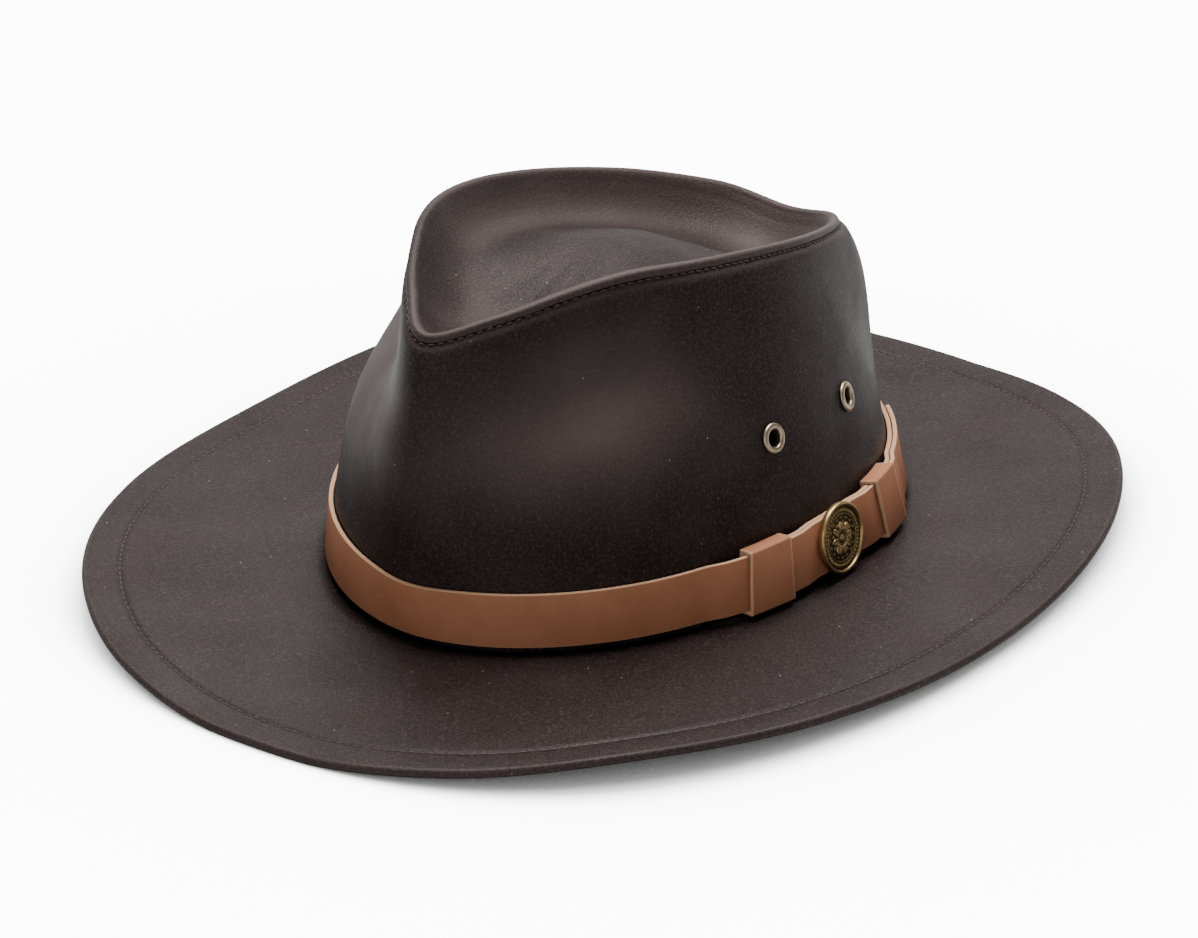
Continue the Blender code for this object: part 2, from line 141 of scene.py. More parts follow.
@functools.lru_cache(maxsize=None)
def headPoint(angle, out):
    point = ovalPoint(angle, hatForm["headLength"] / 2, hatForm["headWidth"] / 2)
    return point + headNormal(angle) * out + Vector((0.0, hatForm["headShift"], 0.0))


@functools.lru_cache(maxsize=None)
def footHeight(angle):
    return hatForm["footLift"] * smoothCurve(footLift, sideAngle(angle))


@functools.lru_cache(maxsize=None)
def seamPoint(angle):
    turn = math.radians(angle)
    along, across = math.cos(turn) / hatForm["tipLength"], math.sin(turn) / hatForm["tipWidth"]
    radius = 1.0 / math.hypot(2 * along, 2 * across)
    radius *= smoothCurve(seamReach, sideAngle(angle))
    height = hatForm["crownHeight"] * smoothCurve(seamHeight, sideAngle(angle))
    return Vector((radius * math.sin(turn), hatForm["tipShift"] - radius * math.cos(turn), height))


@functools.lru_cache(maxsize=None)
def wallColumn(angle):
    foot = headPoint(angle, hatForm["crownWall"]).copy()
    foot.z = footHeight(angle) + hatForm["gap"]
    seam = seamPoint(angle)
    upright = hatForm["footUpright"] / (seam.z - foot.z)
    swell = hatForm["swell"] * smoothCurve(wallSwell, sideAngle(angle))
    shoulder = hatForm["shoulder"] * smoothCurve(wallShoulder, sideAngle(angle))
    dent = hatForm["pinchDepth"] * hump(sideAngle(angle) - pinch["angle"], pinch["spread"])
    return foot, seam, upright, swell, shoulder, dent


def sidePoint(angle, level):
    # outer face of the crown's side, from its foot (0) to the tip seam (1)
    foot, seam, upright, swell, shoulder, dent = wallColumn(angle)
    if level <= upright:
        return foot + up * (hatForm["footUpright"] * level / upright)
    level = (level - upright) / (1.0 - upright)
    out = swell * 4.0 * level * (1.0 - level)
    out += shoulder * 256.0 / 27.0 * level ** 3 * (1.0 - level)
    out -= dent * hump(level - pinch["level"], pinch["span"])
    return (foot + up * hatForm["footUpright"]).lerp(seam, level) + headNormal(angle) * out


@functools.lru_cache(maxsize=None)
def sideFrame(angle, level, step=0.002):
    low, high = max(0.0, level - step), min(1.0, level + step)
    upward = (sidePoint(angle, high) - sidePoint(angle, low)).normalized()
    along = sidePoint(angle + 0.5, level) - sidePoint(angle - 0.5, level)
    return sidePoint(angle, level), along.cross(upward).normalized(), upward


# Mesh helpers

def shapedGrid(columns, rows, place, wearAt=None):
    # a grid whose columns run round the hat and whose vertices are moved to place(column, row)
    mesh = bmesh.new()
    mesh.loops.layers.uv.new("UVMap")
    bmesh.ops.create_grid(mesh, x_segments=columns, y_segments=rows, size=0.5, calc_uvs=True)
    wearLayer = mesh.verts.layers.float.new("wear") if wearAt else None
    for vert in mesh.verts:
        column, row = round((vert.co.x + 0.5) * columns), round((vert.co.y + 0.5) * rows)
        vert.co = place(column, row)
        if wearAt:
            vert[wearLayer] = wearAt(column, row, vert.co)
    bmesh.ops.remove_doubles(mesh, verts=mesh.verts, dist=1e-6)
    return mesh


def faceOutward(mesh, point, outward):
    # turns the whole skin over if the face nearest to the point looks the wrong way
    bmesh.ops.recalc_face_normals(mesh, faces=mesh.faces)
    nearest = min(mesh.faces, key=lambda face: (face.calc_center_median() - point).length_squared)
    if nearest.normal.dot(outward) < 0:
        bmesh.ops.reverse_faces(mesh, faces=mesh.faces)


def makePiece(mesh, name, material, replaced=()):
    data = bpy.data.meshes.new(name)
    mesh.to_mesh(data)
    mesh.free()
    data.shade_smooth()
    data.materials.append(material)
    piece = bpy.data.objects.new(name, data)
    bpy.context.collection.objects.link(piece)
    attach(piece, "root")
    if replaced:
        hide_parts(*replaced)
    return piece


def applyModifiers(piece):
    graph = bpy.context.evaluated_depsgraph_get()
    done = bpy.data.meshes.new_from_object(piece.evaluated_get(graph))
    piece.modifiers.clear()
    piece.data = done


# Materials

def linear(hexColour):
    channels = [int(hexColour[i:i + 2], 16) / 255.0 for i in (1, 3, 5)]
    return (*[c / 12.92 if c <= 0.04045 else ((c + 0.055) / 1.055) ** 2.4 for c in channels], 1.0)


def addNode(tree, kind, values=None, **settings):
    # values are numbers, colours or the output that feeds the socket of that name or number
    node = tree.nodes.new("ShaderNode" + kind)
    for key, value in settings.items():
        setattr(node, key, value)
    for key, value in (values or {}).items():
        if isinstance(value, bpy.types.NodeSocket):
            tree.links.new(value, node.inputs[key])
        else:
            node.inputs[key].default_value = value
    return node


def newMaterial(name):
    material = bpy.data.materials.new(name)
    material.use_nodes = True
    return material, material.node_tree, material.node_tree.nodes["Principled BSDF"]


clothLook = {
    "wax": "#140c0b",        # deep, freshly waxed brown
    # the rubbed colour also stands for painted light where the wear attribute is raised on the pinches and the
    # tip
    "rubbed": "#4b413f",     # where the wax has been rubbed thin
    "bloom": "#594a47",      # dry wax and lint on the high threads
    "bloomShare": 0.38,
    "threadSpacing": 0.0007,  # real 0.45 mm, drawn coarser so that it shows
    "grainPerThread": 0.82,
    "patch": 0.040,          # size of the patches where the wax has dried
    "patchShare": 0.09,
    "speck": "#857a70",      # lint and dust caught in the wax
    "speckCell": 0.0085,     # smaller puts the specks closer together
    "roughness": 0.52,
    "unevenness": 0.10,      # how far the roughness varies either way
    "specular": 0.17,
    "specularTint": "#f6e2dc",
    "bumpStrength": 0.80,
    "bumpHeight": 0.00025,
    "wallUnroll": (0.56, 0.11, 1.0),   # metres round and up the side wall
}


def waxedCotton(name, coordinates):
    # tightly woven cotton filled with wax: dull, with a faint bloom where it has been handled
    material, tree, shader = newMaterial(name)
    places = addNode(tree, "TexCoord")
    objectPlace = places.outputs["Object"]
    if coordinates == "UV":   # the cloth's own directions, in metres along and across
        scale = addNode(tree, "Mapping", {"Vector": places.outputs["UV"], "Scale": clothLook["wallUnroll"]})
        weavePlace = scale.outputs["Vector"]
    else:
        weavePlace = objectPlace
    perMetre = 1.0 / clothLook["threadSpacing"]
    bandScale = perMetre / 6.283   # the wave texture repeats every 2 pi of its own units
    patches = addNode(tree, "TexNoise", {"Vector": objectPlace, "Scale": 1 / clothLook["patch"], "Detail": 5.0,
                                         "Roughness": 0.62})
    grain = addNode(tree, "TexNoise", {"Vector": objectPlace, "Scale": perMetre * clothLook["grainPerThread"],
                                       "Detail": 2.0, "Roughness": 0.7})
    dust = addNode(tree, "TexVoronoi", {"Vector": objectPlace, "Scale": 1 / clothLook["speckCell"]},
                   feature="F1")
    speck = addNode(tree, "MapRange", {"Value": dust.outputs["Distance"], "From Min": 0.02, "From Max": 0.04,
                                       "To Min": 1.0, "To Max": 0.0})
    warp = addNode(tree, "TexWave", {"Vector": weavePlace, "Scale": bandScale, "Distortion": 1.2,
                                     "Detail": 1.0, "Detail Scale": 3.0}, bands_direction="X")
    weft = addNode(tree, "TexWave", {"Vector": weavePlace, "Scale": bandScale, "Distortion": 1.2,
                                     "Detail": 1.0, "Detail Scale": 3.0}, bands_direction="Y")
    weave = addNode(tree, "Math", {0: warp.outputs["Fac"], 1: weft.outputs["Fac"]}, operation="MULTIPLY")
    spread = addNode(tree, "MapRange", {"Value": patches.outputs["Fac"], "From Min": 0.35, "From Max": 0.68,
                                        "To Max": clothLook["patchShare"]})
    # the wear attribute is real rubbing, plus painted light on the pinches and the tip and painted shade on the
    # tip and the brim
    wornAndLit = addNode(tree, "Attribute", attribute_name="wear")
    wornAndLitShare = addNode(tree, "Math", {0: spread.outputs["Result"], 1: wornAndLit.outputs["Fac"]}, operation="ADD",
                        use_clamp=True)
    base = addNode(tree, "Mix", {0: wornAndLitShare.outputs["Value"], 6: linear(clothLook["wax"]),
                                 7: linear(clothLook["rubbed"])}, data_type="RGBA")
    lint = addNode(tree, "MapRange", {"Value": grain.outputs["Fac"], "From Min": 0.48, "From Max": 0.72,
                                      "To Max": clothLook["bloomShare"]})
    colour = addNode(tree, "Mix", {0: lint.outputs["Result"], 6: base.outputs[2],
                                   7: linear(clothLook["bloom"])}, data_type="RGBA")
    threads = addNode(tree, "MapRange", {"Value": weave.outputs["Value"], "To Min": 0.96, "To Max": 1.03})
    shaded = addNode(tree, "Mix", {0: 1.0, 6: colour.outputs[2], 7: threads.outputs["Result"]},
                     data_type="RGBA", blend_type="MULTIPLY")
    dusty = addNode(tree, "Mix", {0: speck.outputs["Result"], 6: shaded.outputs[2],
                                  7: linear(clothLook["speck"])}, data_type="RGBA")
    tree.links.new(dusty.outputs[2], shader.inputs["Base Color"])
    dull = addNode(tree, "MapRange", {"Value": patches.outputs["Fac"], "From Min": 0.3, "From Max": 0.7,
                                      "To Min": clothLook["roughness"] - clothLook["unevenness"],
                                      "To Max": clothLook["roughness"] + clothLook["unevenness"]})
    tree.links.new(dull.outputs["Result"], shader.inputs["Roughness"])
    height = addNode(tree, "Math", {0: weave.outputs["Value"], 1: 0.12, 2: grain.outputs["Fac"]},
                     operation="MULTIPLY_ADD")
    bump = addNode(tree, "Bump", {"Height": height.outputs["Value"], "Strength": clothLook["bumpStrength"],
                                 "Distance": clothLook["bumpHeight"]})
    tree.links.new(bump.outputs["Normal"], shader.inputs["Normal"])
    shader.inputs["Specular IOR Level"].default_value = clothLook["specular"]
    shader.inputs["Specular Tint"].default_value = linear(clothLook["specularTint"])
    return material


leatherLook = {
    "face": "#9c6649",
    "warm": "#a46d50",
    "dark": "#7a4b34",
    "raw": "#c39a78",        # undyed fibre at the cut edge
    "pore": 0.0006,
    "cloud": 0.018,
    "fibre": 1800.0,         # fibres to the metre
    "roughness": 0.66,
    "rawRoughness": 0.85,
    "specular": 0.22,
}


def strapLeather(name):
    # vegetable-tanned strap leather: smooth, satin, with a paler cut edge
    material, tree, shader = newMaterial(name)
    place = addNode(tree, "TexCoord").outputs["Object"]
    clouds = addNode(tree, "TexNoise", {"Vector": place, "Scale": 1 / leatherLook["cloud"], "Detail": 4.0})
    pores = addNode(tree, "TexVoronoi", {"Vector": place, "Scale": 1 / leatherLook["pore"]}, feature="F1")
    fibres = addNode(tree, "TexNoise", {"Vector": place, "Scale": leatherLook["fibre"], "Detail": 2.0})
    spread = addNode(tree, "MapRange", {"Value": clouds.outputs["Fac"], "From Min": 0.35, "From Max": 0.65})
    face = addNode(tree, "Mix", {0: spread.outputs["Result"], 6: linear(leatherLook["face"]),
                                 7: linear(leatherLook["warm"])}, data_type="RGBA")
    poreShade = addNode(tree, "MapRange", {"Value": pores.outputs["Distance"], "From Max": 0.45, "To Min": 0.22,
                                           "To Max": 0.0})
    grain = addNode(tree, "Mix", {0: poreShade.outputs["Result"], 6: face.outputs[2],
                                  7: linear(leatherLook["dark"])}, data_type="RGBA")
    cut = addNode(tree, "Attribute", attribute_name="wear")
    edge = addNode(tree, "Mix", {0: cut.outputs["Fac"], 6: grain.outputs[2], 7: linear(leatherLook["raw"])},
                   data_type="RGBA")
    tree.links.new(edge.outputs[2], shader.inputs["Base Color"])
    dull = addNode(tree, "MapRange", {"Value": cut.outputs["Fac"], "To Min": leatherLook["roughness"],
                                      "To Max": leatherLook["rawRoughness"]})
    tree.links.new(dull.outputs["Result"], shader.inputs["Roughness"])
    height = addNode(tree, "Math", {0: pores.outputs["Distance"], 1: fibres.outputs["Fac"]}, operation="ADD")
    bump = addNode(tree, "Bump", {"Height": height.outputs["Value"], "Strength": 0.22, "Distance": 0.0002})
    tree.links.new(bump.outputs["Normal"], shader.inputs["Normal"])
    shader.inputs["Specular IOR Level"].default_value = leatherLook["specular"]
    return material


brassLook = {
    "raised": "#b79a68",     # brass rubbed bright on the high places
    "patina": "#33291d",     # dark patina left in the low ones
    "paleRaised": "#b9a68c",  # the eyelets are paler, worn through to the nickel in the alloy
    "palePatina": "#41362a",
    "roughness": 0.34,
    "patinaRoughness": 0.62,
    "stain": 0.002,          # size of the stains
}


def antiqueBrass(name, raised, patina):
    # cast brass, darkened and rubbed back
    material, tree, shader = newMaterial(name)
    place = addNode(tree, "TexCoord").outputs["Object"]
    stain = addNode(tree, "TexNoise", {"Vector": place, "Scale": 1 / brassLook["stain"], "Detail": 4.0})
    high = addNode(tree, "Attribute", attribute_name="wear")
    rubbed = addNode(tree, "MapRange", {"Value": high.outputs["Fac"], "From Min": 0.15, "From Max": 0.85})
    spots = addNode(tree, "MapRange", {"Value": stain.outputs["Fac"], "From Min": 0.3, "From Max": 0.7,
                                       "To Min": 0.65, "To Max": 1.0})
    share = addNode(tree, "Math", {0: rubbed.outputs["Result"], 1: spots.outputs["Result"]},
                    operation="MULTIPLY")
    colour = addNode(tree, "Mix", {0: share.outputs["Value"], 6: linear(patina),
                                   7: linear(raised)}, data_type="RGBA")
    tree.links.new(colour.outputs[2], shader.inputs["Base Color"])
    dull = addNode(tree, "MapRange", {"Value": share.outputs["Value"], "To Min": brassLook["patinaRoughness"],
                                      "To Max": brassLook["roughness"]})
    tree.links.new(dull.outputs["Result"], shader.inputs["Roughness"])
    shader.inputs["Metallic"].default_value = 1.0
    bump = addNode(tree, "Bump", {"Height": stain.outputs["Fac"], "Strength": 0.15, "Distance": 0.0001})
    tree.links.new(bump.outputs["Normal"], shader.inputs["Normal"])
    return material


threadLook = {
    "shade": "#2b221f",
    "light": "#574b44",
    "twist": 2500.0,         # strands to the metre
    "roughness": 0.6,
}


def polyesterThread(name):
    # twisted sewing thread, a little paler than the cloth
    material, tree, shader = newMaterial(name)
    place = addNode(tree, "TexCoord").outputs["Object"]
    twist = addNode(tree, "TexNoise", {"Vector": place, "Scale": threadLook["twist"]})
    colour = addNode(tree, "Mix", {0: twist.outputs["Fac"], 6: linear(threadLook["shade"]),
                                   7: linear(threadLook["light"])}, data_type="RGBA")
    tree.links.new(colour.outputs[2], shader.inputs["Base Color"])
    shader.inputs["Roughness"].default_value = threadLook["roughness"]
    return material


wallCloth = waxedCotton("waxedCottonWall", "UV")
flatCloth = waxedCotton("waxedCottonPanel", "Object")
leather = strapLeather("vegetableTannedLeather")
brass = antiqueBrass("antiqueBrass", brassLook["raised"], brassLook["patina"])
paleBrass = antiqueBrass("antiquePaleBrass", brassLook["paleRaised"], brassLook["palePatina"])
thread = polyesterThread("polyesterThread")
print("materials made")


# Crown side

crownCloth = {
    "columns": 700,
    "ditch": 0.0009,         # how far both panels turn in at the tip seam
    "ditchWidth": 0.0016,
    "pucker": 0.00042,
    "puckers": 176,          # stitches round the seam
    "slub": 0.0003,          # slow unevenness of the wall
    "ridge": 0.0016,         # crease the two pinches leave between them, off to the wearer's right
    "ridgeAngle": -9.0,
    "ridgeWidth": 8.0,
    "ridgeLevel": 0.60,
    "ridgeSpan": 0.24,
    "wornAndLitAngle": 34.0,       # middle of the paler place on both pinches: finger wear topped up with painted light on the dents' up-facing slopes
    "wornAndLitSpread": 27.0,
    "wornAndLitLevel": 0.66,
    "wornAndLitSpan": 0.20,
    "seamWear": 0.35,
    "mottle": 0.12,
}


def puckerAt(angle, side):
    # each stitch draws the seam in, some more than others
    turns = angle / 360.0 * crownCloth["puckers"]
    strength = 0.55 + 0.9 * noise.noise(Vector((math.floor(turns + 0.5) * 0.37, side, 0.0)))
    return crownCloth["pucker"] * max(0.0, strength) * (0.5 + 0.5 * math.cos(2 * math.pi * turns))


sideLevels = [0.0, 0.012, 0.03, 0.06]
sideLevels += [0.06 + 0.86 * i / 34 for i in range(1, 35)]
sideLevels += [0.935, 0.948, 0.958, 0.966, 0.973, 0.979, 0.984, 0.988, 0.992, 0.996, 1.0]


def sideSurface(column, row):
    angle = columnAngle(column, crownCloth["columns"])
    level = sideLevels[row]
    point, outward, upward = sideFrame(angle, level)
    below = (1.0 - level) * (seamPoint(angle).z - footHeight(angle))
    turnIn = (crownCloth["ditch"] + puckerAt(angle, 3.0)) * hump(below, crownCloth["ditchWidth"])
    fromRidge = (angle - crownCloth["ridgeAngle"] + 180.0) % 360.0 - 180.0
    ridge = crownCloth["ridge"] * hump(fromRidge, crownCloth["ridgeWidth"])
    turnIn -= ridge * hump(level - crownCloth["ridgeLevel"], crownCloth["ridgeSpan"])
    uneven = crownCloth["slub"] * noise.noise(point * 28.0) * ease(level / 0.25) * ease((1.0 - level) / 0.1)
    return point + outward * (uneven - turnIn)


def sideWearAndLight(column, row, point):
    # the cloth is paler along the seam, from wear, and on the pinches, from finger wear topped up with painted
    # light
    angle = sideAngle(columnAngle(column, crownCloth["columns"]))
    level = sideLevels[row]
    # painted light on the pinches' up-facing slopes, on top of finger wear
    pinched = hump(angle - crownCloth["wornAndLitAngle"], crownCloth["wornAndLitSpread"])
    pinched *= hump(level - crownCloth["wornAndLitLevel"], crownCloth["wornAndLitSpan"])
    seamEdge = crownCloth["seamWear"] * hump(level - 0.985, 0.012)
    return min(1.0, pinched + seamEdge + crownCloth["mottle"] * noise.noise(point * 60.0))


sideMesh = shapedGrid(crownCloth["columns"], len(sideLevels) - 1, sideSurface, sideWearAndLight)
faceOutward(sideMesh, sidePoint(90.0, 0.5), Vector((1.0, 0.0, 0.0)))
crownSide = makePiece(sideMesh, "crownSide", wallCloth, ["crown_side"])
wall = crownSide.modifiers.new("wall", "SOLIDIFY")
wall.thickness = hatForm["crownWall"]
wall.offset = -1.0

eyelets = {
    "level": 0.48,
    "angles": {"eyeletLeftFront": 82.0, "eyeletLeftRear": 114.0, "eyeletRightFront": -82.0,
               "eyeletRightRear": -114.0},
    "bore": 0.0028,
    "barrel": 0.0032,
    "radius": 0.0050,
    "flange": 0.0008,
    "clearance": 0.0003,
    "segments": 48,
}


def standMatrix(point, outward, upward):
    side = upward.cross(outward).normalized()
    upward = outward.cross(side).normalized()
    return Matrix.Translation(point) @ Matrix((side, upward, outward)).transposed().to_4x4()


holeCutters = []
holeRadius = eyelets["barrel"] + eyelets["clearance"]
for holeName, holeAngle in eyelets["angles"].items():
    cutterMesh = bmesh.new()
    bmesh.ops.create_cone(cutterMesh, cap_ends=True, segments=32, radius1=holeRadius, radius2=holeRadius,
                          depth=0.010, matrix=standMatrix(*sideFrame(holeAngle, eyelets["level"])))
    cutterData = bpy.data.meshes.new("cutter")
    cutterMesh.to_mesh(cutterData)
    cutterMesh.free()
    cutter = bpy.data.objects.new("cutter", cutterData)
    bpy.context.collection.objects.link(cutter)
    holeCutters.append(cutter)
    hole = crownSide.modifiers.new(holeName, "BOOLEAN")
    hole.operation = "DIFFERENCE"
    hole.object = cutter
applyModifiers(crownSide)
for cutter in holeCutters:
    bpy.data.objects.remove(cutter, do_unlink=True)
print("crown side made")


# Crown tip

tipCloth = {
    "weltRadius": 0.0024,
    "weltStand": 0.0008,
    "weltTurn": 115.0,
    "crease": 0.0006,        # soft fold along the inner side of the welt
    "creaseAt": 0.028,
    "creaseWidth": 0.012,
    "startSlope": 6.0,       # how steeply the cloth falls away from the welt
    "startReach": 0.07,
    "unevenness": 0.0004,
    # paleness on the welt and the dish walls: rubbing topped up with painted light
    "wear": 0.60,
    "wornAndLitReach": 0.09,
    "wornAndLitSpan": 0.17,
    "tipShadeAngle": -30.0,    # painted shade: the tip's paleness is held back there
    "tipShadeSpread": 25.0,
    "tipShadeDepth": 0.7,
}

tipStations = [("stand", i / 2) for i in range(2)]
tipStations += [("welt", i / 12) for i in range(13)]
tipStations += [("dish", reach) for reach in (
    0.008, 0.016, 0.022, 0.028, 0.034, 0.042, 0.052, 0.065, 0.08, 0.10, 0.12, 0.145, 0.17, 0.20, 0.23, 0.26,
    0.29, 0.32, 0.355, 0.39, 0.425, 0.46, 0.495, 0.53, 0.565, 0.60, 0.65, 0.70, 0.75, 0.80, 0.85, 0.90, 0.95,
    0.98)]


def weltEnd(angle):
    seam, outward, upward = sideFrame(angle, 1.0, 0.04)
    hub = seam + upward * (hatForm["gap"] + tipCloth["weltStand"]) - outward * tipCloth["weltRadius"]
    turn = math.radians(tipCloth["weltTurn"])
    return hub + tipCloth["weltRadius"] * (outward * math.cos(turn) + upward * math.sin(turn))


tipTilt = (weltEnd(0.0).z - weltEnd(180.0).z) / 2


def dishPoint(angle, reach):
    # the panel from its welt (0) to the middle (1): a ditch all round a raised middle
    lip = weltEnd(angle)
    middle = Vector((0.0, hatForm["tipShift"], hatForm["tipMiddle"]))
    point = lip.lerp(middle, reach)
    tilt = tipTilt * math.cos(math.radians(angle))
    rest = lip.z - middle.z - tilt
    level = (1.0 - reach) ** 2 * (1.0 + 2.0 * reach)
    point.z = middle.z + (1.0 - reach) * tilt + level * rest
    startSlope = tipCloth["startSlope"] * reach * max(0.0, 1.0 - reach / tipCloth["startReach"]) ** 2
    point.z -= hatForm["dishDepth"] * (smoothCurve(tipDish, reach) + startSlope)
    return point


def tipSurface(column, row):
    angle = columnAngle(column, crownCloth["columns"])
    kind, share = tipStations[row]
    seam, outward, upward = sideFrame(angle, 1.0, 0.04)
    turnIn = crownCloth["ditch"] + puckerAt(angle, 8.0)
    if kind == "stand":
        rise = hatForm["gap"] + tipCloth["weltStand"] * share
        return seam + upward * rise - outward * turnIn * (1.0 - 0.4 * share)
    if kind == "welt":
        hub = seam + upward * (hatForm["gap"] + tipCloth["weltStand"]) - outward * tipCloth["weltRadius"]
        turn = math.radians(tipCloth["weltTurn"] * share)
        radius = tipCloth["weltRadius"] - turnIn * 0.6 * hump(share, 0.25)
        return hub + radius * (outward * math.cos(turn) + upward * math.sin(turn))
    point = dishPoint(angle, share)
    sharper = 0.6 + 0.4 * math.sin(math.radians(angle))   # the fold is crispest on the wearer's left
    point.z -= tipCloth["crease"] * sharper * hump(share - tipCloth["creaseAt"], tipCloth["creaseWidth"])
    uneven = tipCloth["unevenness"] * noise.noise(point * 26.0)
    point.z += uneven * ease(share / 0.1) * ease((1.0 - share) / 0.3)
    return point


def tipWearAndLight(column, row, point):
    # paler on the welt and the walls of the dish, rubbing topped up with painted light on the up-facing cloth;
    # less in its middle, and darkened by painted shade over the wearer's right temple
    kind, share = tipStations[row]
    angle = columnAngle(column, crownCloth["columns"])
    # painted shade: less paleness over the wearer's right temple
    fromTipShade = (angle - tipCloth["tipShadeAngle"] + 180.0) % 360.0 - 180.0
    unshaded = 1.0 - tipCloth["tipShadeDepth"] * hump(fromTipShade, tipCloth["tipShadeSpread"])
    if kind != "dish":
        return tipCloth["wear"] * unshaded * (0.8 + 0.4 * hump(share - 0.6, 0.3))
    rubbed = unshaded * hump(share - tipCloth["wornAndLitReach"], tipCloth["wornAndLitSpan"])
    return min(1.0, tipCloth["wear"] * rubbed + crownCloth["mottle"] * noise.noise(point * 60.0))


tipMesh = shapedGrid(crownCloth["columns"], len(tipStations) - 1, tipSurface, tipWearAndLight)
openEdges = [edge for edge in tipMesh.edges if edge.is_boundary]
inner = [edge for edge in openEdges if edge.verts[0].co.xy.length < 0.02]
bmesh.ops.edgeloop_fill(tipMesh, edges=inner)
middleFace = max(tipMesh.faces, key=lambda face: len(face.verts))
poked = bmesh.ops.poke(tipMesh, faces=[middleFace])
poked["verts"][0].co = dishPoint(90.0, 1.0)
faceOutward(tipMesh, dishPoint(90.0, 0.8), up)
crownTip = makePiece(tipMesh, "crownTip", flatCloth, ["crown_tip"])
wall = crownTip.modifiers.new("wall", "SOLIDIFY")
wall.thickness = hatForm["crownWall"]
wall.offset = -1.0
applyModifiers(crownTip)
print("crown tip made")


# Brim

brimCloth = {
    "columns": 640,
    "stitchInset": 0.0125,
    "grooveDepth": 0.00050,
    "grooveWidth": 0.0009,
    "hemRise": 0.00025,      # the hem is a little fuller than the rest
    "hemMiddle": 0.006,
    "hemWidth": 0.005,
    "wear": 0.32,            # along the rounded edge
    "brimShade": 0.07,           # painted shade: how much darker the brim is made over the wearer's left temple
    "brimShadeAngle": 55.0,
    "brimShadeSpread": 28.0,
    "mottle": 0.10,
    "round": 0.0012,
}

brimInsets = [0.002, 0.003, 0.004, 0.0055, 0.007, 0.009, 0.0105, 0.0112, 0.0118, 0.0122, 0.0125, 0.0128,
              0.0132, 0.0138, 0.0146, 0.016, 0.019, 0.022]
brimRounding = [(1.0, 0.0), (0.62, 0.06), (0.3, 0.2), (0.08, 0.35), (0.0, 0.5), (0.08, 0.65), (0.3, 0.8),
                (0.62, 0.94), (1.0, 1.0)]
brimStations = [("inner", 0.0)]
brimStations += [("under", level / 8) for level in range(8)]
brimStations += [("edge", i) for i in range(len(brimRounding))]
brimStations += [("inset", inset) for inset in brimInsets]
brimStations += [("top", level / 12) for level in range(7, -1, -1)]
brimStations += [("inner", 1.0)]


@functools.lru_cache(maxsize=None)
def brimEnds(angle):
    inner = headPoint(angle, hatForm["footSeat"]).copy()
    outer = ovalPoint(angle, hatForm["brimLength"] / 2, hatForm["brimWidth"] / 2, hatForm["brimSquareness"])
    inner.z = footHeight(angle) - hatForm["brimThickness"]
    outer.z = hatForm["brimLift"] * smoothCurve(edgeLift, sideAngle(angle)) - hatForm["restPress"]
    return inner, outer


def brimUnder(angle, level):
    inner, outer = brimEnds(angle)
    point = inner.lerp(outer, level)
    point.z = max(0.0, point.z)
    return point


def brimSurface(column, row):
    angle = columnAngle(column, brimCloth["columns"])
    kind, share = brimStations[row]
    inner, outer = brimEnds(angle)
    thick = hatForm["brimThickness"]
    if kind == "inner":
        point = headPoint(angle, 0.0).copy()
        point.z = max(0.0, inner.z) + thick * share
        return point
    if kind == "under":
        return brimUnder(angle, share)
    if kind == "edge":
        inset, height = brimRounding[share]
        inward = headPoint(angle, 0.0) - outer
        inward.z = 0.0
        return brimUnder(angle, 1.0) + inward.normalized() * brimCloth["round"] * inset + up * thick * height
    width = (outer - inner).length
    level = share if kind == "top" else 1.0 - share / width
    inset = (1.0 - level) * width
    point = brimUnder(angle, level) + up * thick
    offSeam = inset - brimCloth["stitchInset"]
    point.z -= brimCloth["grooveDepth"] * hump(offSeam, brimCloth["grooveWidth"])
    point.z += brimCloth["hemRise"] * hump(inset - brimCloth["hemMiddle"], brimCloth["hemWidth"])
    return point


def brimWearAndShade(column, row, point):
    # rubbed along the rounded edge, with painted shade over the wearer's left temple
    kind = brimStations[row % len(brimStations)][0]
    edge = brimCloth["wear"] if kind == "edge" else 0.0
    angle = columnAngle(column, brimCloth["columns"])
    # painted shade over the wearer's left temple
    brimShade = brimCloth["brimShade"] * hump(angle - brimCloth["brimShadeAngle"], brimCloth["brimShadeSpread"])
    return min(1.0, edge - brimShade + brimCloth["mottle"] * noise.noise(point * 40.0))


brimMesh = shapedGrid(brimCloth["columns"], len(brimStations),
                      lambda column, row: brimSurface(column, row % len(brimStations)), brimWearAndShade)
faceOutward(brimMesh, Vector((0.13, 0.0, 0.02)), up)
makePiece(brimMesh, "brimCloth", flatCloth, ["brim"])
print("brim made")


# Stitches

stitching = {
    "pitch": 0.0032,
    "length": 0.0025,
    "radius": 0.00020,
    "seamSunk": 0.0007,      # how deep the stitches of the tip seam lie
    "samples": 1440,         # points that measure the line
}


